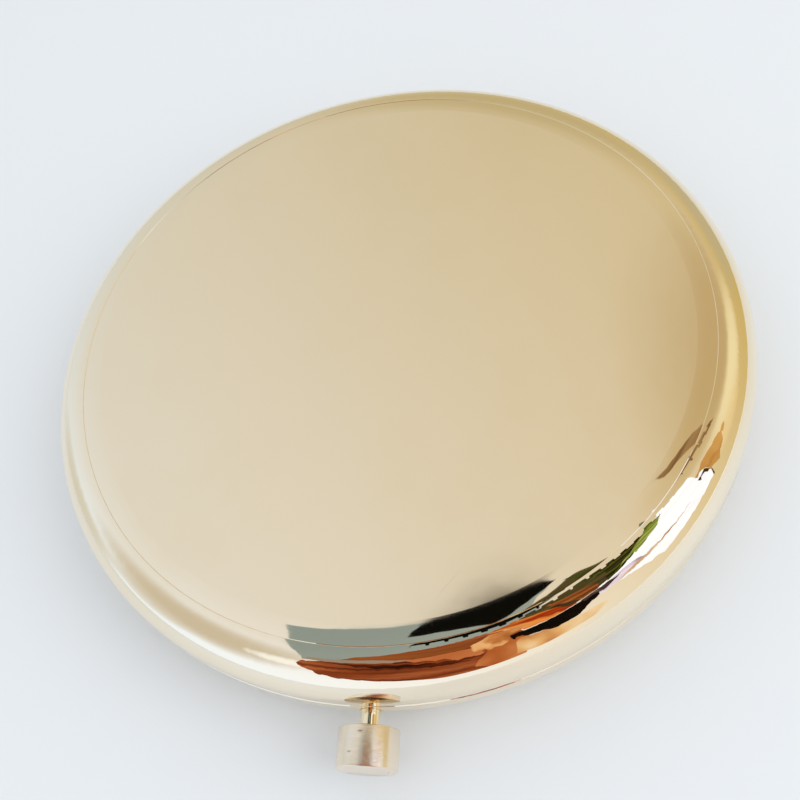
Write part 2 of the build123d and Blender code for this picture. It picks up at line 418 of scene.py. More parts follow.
BLACK = (0.004, 0.004, 0.003)
RUST = (0.26, 0.058, 0.018)
TAN = (0.80, 0.48, 0.21)
CREAM = (0.93, 0.76, 0.52)
CARDS = (
    Card("card_beam", ((-112, 69.5), (-42, 57.5), (-34, 66), (0, 84), (150, 84), (168, 78), (-155, 78.5)),
         ((0.28, 0.35, 0.36), (0.36, 0.42, 0.41)), Pattern.FOLDS, 0.70, 5.0),
    Card("card_beam_end", ((-48, 62), (-42, 57.5), (-30, 61), (-16, 62), (-12, 66), (-30, 68)),
         ((0.30, 0.29, 0.27), (0.42, 0.24, 0.15)), Pattern.FOLDS, 0.655, 6.0),
    Card("card_lens", ((-108, 81), (-125, 79.5), (-146, 76), (-165, 74.5), (-178, 75.5), (165, 79), (160, 83),
                       (168, 86.5), (-170, 87.5), (-140, 86), (-120, 83.5)),
         (BLACK,), Pattern.PLAIN, 0.60),
    Card("card_dusk", ((30, 84), (34, 72), (44, 64), (60, 61), (80, 65), (100, 70), (125, 74), (148, 79),
                       (150, 86), (100, 87)),
         ((0.10, 0.08, 0.03), (0.03, 0.02, 0.008)), Pattern.FOLDS, 0.68, 14.0),
    Card("card_coat", ((-39, 55), (-37, 47), (-25.5, 31), (-20, 26), (-10, 22), (-2, 18.5), (7, 13), (17, 13),
                       (16, 30), (20, 50), (31, 61.5), (31, 76), (0, 89), (-60, 81), (-48, 74), (-36, 66)),
         ((0.10, 0.020, 0.008), RUST, (0.42, 0.13, 0.05)), Pattern.FOLDS, 0.67, 9.0, (0.3, 1.0, 1.0)),
    Card("card_coat_top", ((-50, 73), (-40, 66), (-20, 64), (8, 69), (14, 76), (0, 84), (-40, 80)),
         ((0.17, 0.05, 0.016), (0.38, 0.115, 0.03)), Pattern.FOLDS, 0.66, 9.0, (0.3, 1.0, 1.0)),
    Card("card_coat_light", ((-16, 65), (2, 68), (14, 66), (16, 48), (9, 50), (2, 58), (-8, 61)),
         ((0.50, 0.15, 0.05), (0.60, 0.22, 0.09)), Pattern.FOLDS, 0.65, 9.0),
    Card("card_coat_crease", ((-36, 58), (-20, 59), (-10, 57.5), (0, 54), (6, 47), (14, 44), (13, 40),
                              (2, 43), (-6, 50), (-18, 53), (-34, 53)),
         ((0.025, 0.006, 0.003), (0.09, 0.018, 0.006)), Pattern.FOLDS, 0.64, 12.0, (0.3, 1.0, 1.0)),
    Card("card_sleeve", ((18, 62), (31, 61.5), (30, 48), (26, 14), (17, 13), (14, 24), (16, 40)),
         ((0.42, 0.105, 0.028), (0.50, 0.16, 0.05), (0.62, 0.25, 0.10)), Pattern.FOLDS, 0.655, 9.0),
    Card("card_lining", ((27, 52), (33, 46), (40, 36), (46, 33), (50, 26), (44, 15), (30, 15), (24, 20),
                         (25, 36)),
         ((0.55, 0.22, 0.08), TAN, CREAM), Pattern.FOLDS, 0.65, 9.0),
    Card("card_collar", ((10, 71), (20, 83), (33, 79), (36, 71), (27, 66), (26, 57), (18, 51), (13, 60)),
         ((0.36, 0.11, 0.035), (0.56, 0.22, 0.07), (0.86, 0.50, 0.24)), Pattern.FOLDS, 0.645, 20.0),
    Card("card_arm", ((26, 65.5), (38, 61.5), (52, 59.5), (56, 55), (53, 49.5), (46, 42), (42.5, 36.5),
                      (36, 37.5), (33, 47), (28, 52)),
         (BLACK, (0.012, 0.005, 0.003)), Pattern.FOLDS, 0.58, 12.0),
    Card("card_cuff", ((52, 61), (60, 60), (64, 55), (57, 51.5), (53, 55)),
         (BLACK, (0.09, 0.06, 0.05), (0.30, 0.16, 0.22)), Pattern.FOLDS, 0.575, 30.0),
    Card("card_shade", ((130, 87), (66, 80), (52, 69), (50, 61), (40, 62), (32, 66), (34, 76), (10, 87)),
         ((0.36, 0.035, 0.006), (0.88, 0.33, 0.07), (0.46, 0.30, 0.17)), Pattern.FOLDS, 0.60, 16.0),
    Card("card_shade_fold", ((120, 84), (76, 81), (60, 73), (54, 63), (62, 61), (72, 70), (88, 78)),
         (BLACK, (0.34, 0.10, 0.025), (0.50, 0.20, 0.06)), Pattern.FOLDS, 0.59, 18.0),
    Card("card_plant_dark", ((150, 80), (128, 77), (96, 75), (72, 68), (62, 60), (74, 62), (92, 67),
                             (122, 70)),
         (BLACK, (0.035, 0.028, 0.006), (0.10, 0.13, 0.02)), Pattern.FOLDS, 0.58, 26.0),
    Card("card_plant", ((134, 72), (124, 69), (100, 65.5), (80, 62.5), (70, 63), (86, 67), (104, 71)),
         ((0.08, 0.13, 0.008), (0.26, 0.33, 0.05), (0.55, 0.62, 0.24)), Pattern.FOLDS, 0.575, 26.0),
    Card("card_window", ((135, 70), (120, 63), (101, 52.6), (94, 38.6), (88, 22), (66, 18), (58, 44),
                         (60, 62), (76, 64)),
         ((1.10, 1.22, 1.48), (1.04, 1.12, 1.34)), Pattern.FOLDS, 0.72, 9.0),
    Card("card_sill", ((70, 58), (62, 59), (54, 55), (53, 47), (62, 43), (74, 40), (70, 48)),
         ((0.36, 0.26, 0.40), (0.78, 0.70, 1.00), (0.95, 0.90, 1.05)), Pattern.FOLDS, 0.62, 22.0),
    Card("card_sill_edge", ((66, 50), (58, 46), (62, 44), (74, 40), (84, 38), (74, 44)),
         ((0.40, 0.18, 0.06), (0.80, 0.60, 0.46)), Pattern.FOLDS, 0.615, 22.0),
    Card("card_frame", ((109, 55), (107, 40), (96, 29), (91, 23), (92, 33), (97, 44), (100, 52)),
         ((0.45, 0.20, 0.045), (0.70, 0.42, 0.14)), Pattern.FOLDS, 0.64, 7.0),
    Card("card_frame_edge", ((101, 53), (97, 46), (93, 36), (88, 21), (87, 21), (91, 36), (95, 46)),
         ((0.06, 0.03, 0.01),), Pattern.PLAIN, 0.63),
    Card("card_door", ((150, 65.6), (155, 67.6), (147, 67.2), (138, 62.8), (130, 57), (140, 61)),
         ((0.16, 0.08, 0.03), (0.38, 0.24, 0.11)), Pattern.FOLDS, 0.66, 24.0),
)


@dataclass
class Studio:
    """The pale table, the soft lights, the cards the polish mirrors and the camera."""

    azimuth: float = 20.72
    elevation: float = 58.51
    roll: float = -20.07
    distance: float = 105.47 * MM
    lens: float = 43.18245
    sensor: float = 36.0
    target: Vector = field(default_factory=lambda: Vector((-0.89, -0.33, -2.56)) * MM)

    def camera(self) -> bpy.types.Object:
        """Builds the camera at the compact's viewing angle.

        Returns:
            The camera object, which is also set as the scene's camera.
        """
        back = towards(self.azimuth, self.elevation)
        right = (-back).cross(Vector((0, 0, 1))).normalized()
        up = right.cross(-back)
        turn = Matrix((right, up, back)).transposed() @ Matrix.Rotation(math.radians(self.roll), 3, "Z")
        data = bpy.data.cameras.new("camera")
        data.sensor_width = self.sensor
        data.lens = self.lens
        data.clip_start = 0.005
        data.clip_end = 10
        made = bpy.data.objects.new("camera", data)
        made.matrix_world = Matrix.Translation(self.target + back * self.distance) @ turn.to_4x4()
        bpy.context.scene.collection.objects.link(made)
        bpy.context.scene.camera = made
        return made

    def floor(self) -> None:
        """Builds the wide pale table top."""
        mesh = bpy.data.meshes.new("floor")
        shape = bmesh.new()
        bmesh.ops.create_grid(shape, x_segments=1, y_segments=1, size=1.5)
        shape.to_mesh(mesh)
        shape.free()
        made = bpy.data.objects.new("floor", mesh)
        bpy.context.scene.collection.objects.link(made)
        f = Finisher("table_white")
        f.set(Base_Color=(0.845, 0.88, 0.91), Roughness=0.35, Specular_IOR_Level=0.3)
        mesh.materials.append(f.material)

    def light(
        self, name: str, azimuth: float, elevation: float, size: tuple[float, float], glow: float
    ) -> None:
        """Adds one soft rectangular light aimed at the compact, which the polish doesn't show.

        Args:
            name: the light's name.
            azimuth: degrees from -Y towards +X.
            elevation: degrees above the table.
            size: width and height in metres.
            glow: brightness of the light's surface.
        """
        away = towards(azimuth, elevation)
        data = bpy.data.lights.new(name, "AREA")
        data.shape = "RECTANGLE"
        data.size, data.size_y = size
        data.energy = glow * math.pi * size[0] * size[1]
        made = bpy.data.objects.new(name, data)
        look = away.to_track_quat("Z", "Y").to_matrix().to_4x4()
        made.matrix_world = Matrix.Translation(away * 0.62) @ look
        made.visible_camera = False
        made.visible_glossy = False
        bpy.context.scene.collection.objects.link(made)

    def world(self) -> None:
        """Sets a soft, pale room light and plain colour handling."""
        world = bpy.data.worlds.new("room")
        bpy.context.scene.world = world
        world.use_nodes = True
        sky = world.node_tree.nodes["Background"]
        sky.inputs["Color"].default_value = (0.79, 0.80, 0.815, 1)
        sky.inputs["Strength"].default_value = 1.0
        bpy.context.scene.view_settings.view_transform = "Standard"

    def build(self) -> None:
        """Builds the whole studio."""
        self.camera()
        self.floor()
        self.world()
        self.light("window", 78, 32, (0.40, 0.60), 1.6)
        self.light("overhead", 20, 80, (0.9, 0.9), 0.12)
        Dome().build()
        for card in CARDS:
            card.build()


class Work(Enum):
    """How a metal surface was worked."""

    POLISHED = "polished"
    LATHE = "lathe"
    ROLLED = "rolled"
    TUMBLED = "tumbled"


@dataclass(frozen=True)
class Metal:
    """A plain metal finish; lengths in millimetres."""

    name: str
    colour: Colour
    deep: Colour
    roughness: float
    work: Work
    tooth: float = 0.002
    spread: float = 0.08

    def grain(self, f: Finisher, smear: Shade) -> Shade:
        """The height of the tool marks.

        Args:
            f: the node tree helper.
            smear: a slow noise that unsettles the marks.

        Returns:
            A height from 0 to 1.
        """
        if self.work is Work.LATHE:
            x, y, z = f.axes(f.place(1 / MM))
            return f.noise(f.vector((x * x + y * y) ** 0.5 * 9.0, z * 9.0, smear), 2.0)
        squeeze = {
            Work.POLISHED: (0.35, 0.35, 0.35),
            Work.ROLLED: (0.4, 11.0, 11.0),
            Work.TUMBLED: (5.0, 5.0, 5.0),
        }[self.work]
        return f.noise(f.place(1 / MM, squeeze), 3.0)

    def make(self) -> bpy.types.Material:
        """Builds the material.

        Returns:
            The finished material.
        """
        f = Finisher(self.name)
        smear = f.noise(f.place(0.12 / MM), 4.0, 0.6)
        grain = self.grain(f, smear)
        f.set(
            Base_Color=f.mix((smear * 1.6 - 0.4).clamp(), self.colour, self.deep),
            Metallic=1.0,
            Roughness=(self.roughness + self.spread * (smear - 0.5) + 0.4 * self.spread * grain).clamp(),
            Normal=f.bump(grain, 1.0, self.tooth * MM),
        )
        return f.material


@dataclass(frozen=True)
class CaseGold:
    """Gold plate, bright on the rounded sides and a touch softer on the flat panels."""

    name: str = "case_gold_plate"
    colour: Colour = (0.95, 0.85, 0.68)
    handled: Colour = (0.93, 0.82, 0.63)
    side_roughness: float = 0.025
    panel_roughness: float = 0.10
    panel_edge: float = 29.2
    seam: float = 6.2

    def hairlines(self, f: Finisher, turn: float) -> Shade:
        """Sparse fine scratches that run one way.

        Args:
            f: the node tree helper.
            turn: their direction about Z, in degrees.

        Returns:
            1 on a scratch and 0 elsewhere.
        """
        line = f.noise(f.place(1 / MM, (0.10, 6.0, 1.0), turn), 1.0)
        gate = f.noise(f.place(1 / MM, (0.16, 0.16, 0.16), turn), 1.0)
        return line.smooth(0.72, 0.78) * gate.smooth(0.52, 0.66)

    def make(self) -> bpy.types.Material:
        """Builds the material.

        Returns:
            The finished material.
        """
        f = Finisher(self.name)
        x, y, z = f.axes(f.place(1 / MM))
        radius = (x * x + y * y) ** 0.5
        panel = 1.0 - radius.smooth(self.panel_edge, self.panel_edge + 0.8)
        peel = f.noise(f.place(0.22 / MM), 2.0)
        touch = f.noise(f.place(0.07 / MM), 4.0, 0.6).smooth(0.45, 0.75)
        scratch = self.hairlines(f, 24.0) + self.hairlines(f, -51.0)
        rim = 1.0 - ((z - self.seam) ** 2.0).smooth(0.05, 0.9)
        rub = rim * f.noise(f.place(1.3 / MM), 3.0).smooth(0.45, 0.7)
        rough = self.side_roughness + (self.panel_roughness - self.side_roughness) * panel
        f.set(
            Base_Color=f.mix(0.6 * touch, self.colour, self.handled),
            Metallic=1.0,
            Roughness=rough + 0.03 * touch * panel + 0.03 * scratch + 0.07 * rub,
            Normal=f.bump(peel - 0.03 * scratch, 1.0, 0.012 * MM),
        )
        return f.material


@dataclass(frozen=True)
class BrushedKnob:
    """Pale gold brushed round the push button's own axis, with two small dents that are sunk and also painted
    darker brown as shade; millimetres.
    """

    name: str = "knob_brushed"
    colour: Colour = (0.93, 0.83, 0.69)
    dents: tuple[tuple[float, float, float], ...] = ((-0.15, -37.2, 7.45), (-1.05, -38.8, 7.25))

    def make(self) -> bpy.types.Material:
        """Builds the material.

        Returns:
            The finished material.
        """
        f = Finisher(self.name)
        where = f.place(1 / MM)
        x, y, z = f.axes(where)
        lines = f.noise(f.vector(y * 16.0, x * 0.5, z * 0.5), 3.0, 0.65)
        bands = f.noise(f.vector(y * 2.2, x * 0.25, z * 0.25), 2.0)
        # Each dent is sunk by the bump below and also painted darker as shade.
        dent_and_painted_shade: Shade | float = 0.0
        for spot in self.dents:
            stretched = f.node("ShaderNodeMapping", {}, {"Vector": where, "Scale": (0.45, 1.4, 1.0)})
            centre = (spot[0] * 0.45, spot[1] * 1.4, spot[2])
            away = f.node("ShaderNodeVectorMath", {"operation": "DISTANCE"}, (stretched, centre), "Value")
            dent_and_painted_shade = dent_and_painted_shade + (1.0 - away.smooth(0.03, 0.16))
        # The two dents are painted darker brown: painted shade in the hollows; the brushing bands are the
        # metal's own tone.
        f.set(
            Base_Color=f.mix((0.7 * dent_and_painted_shade + 0.25 * bands).clamp(), self.colour, (0.55, 0.42, 0.28)),
            Metallic=1.0,
            Roughness=0.20 + 0.12 * (lines - 0.5) + 0.08 * bands,
            Normal=f.bump(lines + 0.5 * bands - 2.0 * dent_and_painted_shade, 1.0, 0.014 * MM),
            Anisotropic=0.6,
        )
        return f.material


@dataclass(frozen=True)
class PressedPowder:
    """Matt powder pressed through cloth, which leaves a fine weave in it; millimetres."""

    name: str = "pressed_powder_matt"
    colour: Colour = (0.62, 0.37, 0.245)
    pale: Colour = (0.72, 0.47, 0.34)
    weave: float = 0.62

    def make(self) -> bpy.types.Material:
        """Builds the material.

        Returns:
            The finished material.
        """
        f = Finisher(self.name)
        x, y, _ = f.axes(f.place(1 / MM))
        turn = 2 * math.pi / self.weave
        cloth = (x * turn).sine() * (y * turn).sine()
        grain = f.noise(f.place(7.0 / MM), 4.0, 0.7)
        clump = f.noise(f.place(0.5 / MM), 3.0)
        f.set(
            Base_Color=f.mix((clump * 0.7 + grain * 0.5 - 0.1).clamp(), self.colour, self.pale),
            Roughness=0.9 + 0.1 * grain,
            Normal=f.bump(0.55 * grain + 0.35 * clump + 0.22 * cloth, 1.0, 0.05 * MM),
            Specular_IOR_Level=0.15,
            Sheen_Weight=0.1,
            Sheen_Roughness=0.6,
        )
        return f.material


class Cloth(Enum):
    """The weaves on the puff."""

    VELOUR = "velour"
    SATIN = "satin"
    GROSGRAIN = "grosgrain"
    CORD = "cord"


@dataclass(frozen=True)
class Fabric:
    """A cloth finish, painted darker between its threads as shade; pitch is the distance between threads or
    ribs in millimetres.
    """

    name: str
    cloth: Cloth
    colour: Colour
    # The darker colour laid between the threads: painted shade.
    painted_valley_shade: Colour
    pitch: float
    roughness: float
    sheen: float

    def height(self, f: Finisher) -> Shade:
        """The height of the threads, ribs or pile.

        Args:
            f: the node tree helper.

        Returns:
            A height of about 0 to 1.
        """
        x, y, z = f.axes(f.place(1 / MM))
        turn = 2 * math.pi / self.pitch
        fuzz = f.noise(f.place(1 / (self.pitch * MM)), 3.0, 0.7)
        if self.cloth is Cloth.SATIN:
            twill = (x * turn * 0.45 + y * turn * 0.5).sine()
            return 0.5 + 0.22 * (y * turn).sine() + 0.12 * twill + 0.3 * fuzz
        if self.cloth is Cloth.GROSGRAIN:
            return 0.5 + 0.4 * (x * turn).sine() + 0.12 * fuzz
        if self.cloth is Cloth.CORD:
            around = f.node("ShaderNodeMath", {"operation": "ARCTAN2"}, (y, x))
            return 0.5 + 0.4 * (around * (2 * math.pi * 21.0 / self.pitch) + z * 5.0).sine() + 0.2 * fuzz
        return fuzz

    def make(self) -> bpy.types.Material:
        """Builds the material.

        Returns:
            The finished material.
        """
        f = Finisher(self.name)
        height = self.height(f)
        drift = f.noise(f.place(0.16 / MM), 3.0)
        # Colour darkens where the threads lie low: painted shade between threads, plus the cloth's own uneven
        # tone from the drift.
        f.set(
            Base_Color=f.mix((1.0 - height * 0.8 + 0.4 * (drift - 0.5)).clamp(), self.colour, self.painted_valley_shade),
            Roughness=(self.roughness + 0.12 * (drift - 0.5)).clamp(),
            Normal=f.bump(height, 1.0, 0.12 * self.pitch * MM),
            Specular_IOR_Level=0.35,
            Sheen_Weight=self.sheen,
            Sheen_Roughness=0.4,
        )
        return f.material


@dataclass(frozen=True)
class SilveredGlass:
    """A mirror with faint wipe marks."""

    name: str = "mirror_silvered"

    def make(self) -> bpy.types.Material:
        """Builds the material.

        Returns:
            The finished material.
        """
        f = Finisher(self.name)
        wipe = f.noise(f.place(1 / MM, (0.05, 0.5, 0.5), 30.0), 4.0, 0.6).smooth(0.5, 0.8)
        dust = f.noise(f.place(5.0 / MM), 2.0).smooth(0.74, 0.8)
        f.set(
            Base_Color=f.mix(0.5 * dust + 0.06 * wipe, (0.90, 0.93, 0.92), (0.80, 0.80, 0.79)),
            Metallic=1.0,
            Roughness=0.012 + 0.02 * wipe + 0.2 * dust,
            Coat_Weight=0.5,
        )
        return f.material


@dataclass(frozen=True)
class SoftGlue:
    """A milky adhesive pad with small bubbles."""

    name: str = "glue_milky"

    def make(self) -> bpy.types.Material:
        """Builds the material.

        Returns:
            The finished material.
        """
        f = Finisher(self.name)
        blot = f.noise(f.place(0.6 / MM), 3.0)
        bubble = f.noise(f.place(3.0 / MM), 1.0).smooth(0.66, 0.72)
        f.set(
            Base_Color=f.mix((blot + 0.3 * bubble).clamp(), (0.78, 0.72, 0.58), (0.86, 0.83, 0.74)),
            Roughness=0.35 + 0.3 * blot,
            Normal=f.bump(blot - bubble, 1.0, 0.03 * MM),
        )
        return f.material


def dress(material: bpy.types.Material, *nodes: str) -> None:
    """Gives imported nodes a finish.

    Args:
        material: the finish.
        nodes: the names of the nodes that take it.
    """
    for name in nodes:
        for slot in frame["nodes"][name].material_slots:
            slot.material = material
        LOG.info("dressed %s in %s", name, material.name)


def piece(
    name: str, shape: bmesh.types.BMesh, material: bpy.types.Material, body: str, slot: str, *stands_for: str
) -> bpy.types.Object:
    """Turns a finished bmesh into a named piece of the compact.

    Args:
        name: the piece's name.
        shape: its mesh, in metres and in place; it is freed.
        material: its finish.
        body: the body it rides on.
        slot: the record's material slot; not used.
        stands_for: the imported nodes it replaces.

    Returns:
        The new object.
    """
    bmesh.ops.recalc_face_normals(shape, faces=shape.faces[:])
    for face in shape.faces:
        face.smooth = True
    mesh = bpy.data.meshes.new(name)
    shape.to_mesh(mesh)
    shape.free()
    mesh.materials.append(material)
    made = bpy.data.objects.new(name, mesh)
    bpy.context.scene.collection.objects.link(made)
    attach(made, body)
    if stands_for:
        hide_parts(*stands_for)
    LOG.info("built %s: %d faces", name, len(mesh.polygons))
    return made


def lathe(
    outline: Sequence[Vector], steps: int, axis: Vector, centre: Vector
) -> bmesh.types.BMesh:
    """Spins an outline right round an axis and closes its poles.

    Args:
        outline: points in order, in metres.
        steps: how many steps the full turn has.
        axis: the axis's direction.
        centre: a point on the axis.

    Returns:
        The spun mesh.
    """
    shape = bmesh.new()
    spots = [bmesh.ops.create_vert(shape, co=spot)["vert"][0] for spot in outline]
    for first, second in zip(spots, spots[1:]):
        bmesh.ops.contextual_create(shape, geom=[first, second])
    bmesh.ops.spin(
        shape,
        geom=shape.verts[:] + shape.edges[:],
        axis=axis,
        cent=centre,
        angle=2 * math.pi,
        steps=steps,
        use_merge=True,
    )
    bmesh.ops.remove_doubles(shape, verts=shape.verts[:], dist=1e-7)
    return shape


@dataclass
class Case:
    """The lid and base shells with what is pressed into them."""

    def build(self) -> None:
        """Dresses the shells, the tray, the lip and the bezel."""
        dress(CaseGold().make(), "lid_shell", "base_shell")
        bright = Metal("inner_gold_turned", (0.94, 0.81, 0.58), (0.90, 0.74, 0.48), 0.15, Work.LATHE, 0.006)
        dress(bright.make(), "inner_tray", "base_lip", "lid_bezel", "latch_cover")
        dress(SilveredGlass().make(), "mirror_glass")
        dress(SoftGlue().make(), "mirror_pad", "pan_adhesive")


@dataclass
class PushButton:
    """The knob on its stem, with the bush it slides in; lengths in metres."""

    outer_break: float = 0.16 * MM
    inner_break: float = 0.10 * MM
    steps: int = 128

    def knob(self) -> bpy.types.Object:
        """Turns the knob and rounds its two edges.

        Returns:
            The finished knob.
        """
        low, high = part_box("button_knob")
        centre = (Vector(low) + Vector(high)) / 2
        radius = (high[2] - low[2]) / 2
        front, back = low[1], high[1]
        edges = [(0, front), (radius, front), (radius, back), (0, back)]
        outline = [Vector((0, y, centre.z + r)) for r, y in edges]
        shape = lathe(outline, self.steps, Vector((0, 1, 0)), centre)
        for at, size in ((front, self.outer_break), (back, self.inner_break)):
            rim = [
                e for e in shape.edges
                if all(abs(v.co.y - at) < 1e-7 and (v.co - centre).xz.length > radius * 0.9 for v in e.verts)
            ]
            bmesh.ops.bevel(
                shape, geom=rim, offset=size, segments=5, profile=0.5, affect="EDGES", material=-1
            )
        made = piece("push_knob", shape, BrushedKnob().make(), "button", "knob_satin", "button_knob")
        return made

    def build(self) -> None:
        """Builds the knob and dresses the stem, bush and clip."""
        self.knob()
        stem = Metal("stem_gold_polished", (0.94, 0.82, 0.60), (0.88, 0.70, 0.42), 0.07, Work.POLISHED, 0.004)
        dress(stem.make(), "button_stem", "stem_bush")
        clip = Metal("stamped_steel", (0.62, 0.61, 0.60), (0.48, 0.46, 0.44), 0.24, Work.TUMBLED, 0.004)
        dress(clip.make(), "stem_clip", "hinge_pin", "spring_bracket", "catch_slide")


@dataclass
class Hinge:
    """The five-knuckle hinge."""

    def build(self) -> None:
        """Dresses the leaves and the strike, which share a tumbled plate."""
        plate = Metal("hinge_gold_tumbled", (0.90, 0.75, 0.50), (0.80, 0.62, 0.36), 0.26, Work.TUMBLED, 0.005)
        dress(plate.make(), "hinge_base_leaf", "hinge_lid_leaf", "lid_strike")


@dataclass
class Springs:
    """The catch spring and the coil spring behind the button; lengths in metres."""

    wire: float = 0.3 * MM
    active_turns: float = 3.0
    closed_turns: float = 0.5
    closed_pitch: float = 1.04
    turn_steps: int = 32
    wire_sides: int = 14

    def coil(self, low: Vector, high: Vector) -> bmesh.types.BMesh:
        """Winds the wire with a closed half turn at each end, the far one passing under the deck.

        Args:
            low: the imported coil's lowest corner.
            high: its highest corner.

        Returns:
            The coil, closed at both cut ends.
        """
        centre = (low + high) / 2
        radius = (high.x - low.x - self.wire) / 2
        start = Vector((centre.x + radius, low.y + self.wire / 2, centre.z))
        closed = self.wire * self.closed_pitch * self.closed_turns
        active = high.y - low.y - self.wire - 2 * closed
        shape = bmesh.new()
        bmesh.ops.create_circle(
            shape, segments=self.wire_sides, radius=self.wire / 2, matrix=Matrix.Translation(start)
        )
        front = shape.verts[:] + shape.edges[:]
        windings = ((self.closed_turns, closed), (self.active_turns, active), (self.closed_turns, closed))
        for turns, rise in windings:
            steps = round(turns * self.turn_steps)
            front = bmesh.ops.spin(
                shape,
                geom=front,
                cent=centre,
                axis=(0, 1, 0),
                dvec=(0, rise / steps, 0),
                angle=-2 * math.pi * turns,
                steps=steps,
            )["geom_last"]
        bmesh.ops.holes_fill(shape, edges=shape.edges[:], sides=0)
        return shape

    def build(self) -> None:
        """Winds the coil and dresses the catch spring."""
        blued = Metal("spring_steel_blued", (0.42, 0.43, 0.47), (0.26, 0.28, 0.34), 0.2, Work.ROLLED, 0.003)
        finish = blued.make()
        dress(finish, "catch_spring")
        low, high = (Vector(corner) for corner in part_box("button_spring"))
        made = piece("push_spring", self.coil(low, high), finish, "button", "spring_steel", "button_spring")
        slide = next(j for j in frame["record"]["behaviour"]["joints"] if j["name"] == "button_slide")
        keep = 1 - slide["range_m"][1] / (high.y - low.y)
        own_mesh(made)


@dataclass
class PowderPan:
    """The drawn tin and the powder pressed into it."""

    def build(self) -> None:
        """Dresses the tin and the powder."""
        tin = Metal("pan_tin_satin", (0.80, 0.80, 0.81), (0.68, 0.68, 0.69), 0.24, Work.LATHE, 0.004)
        dress(tin.make(), "powder_pan")
        dress(PressedPowder().make(), "powder_cake")


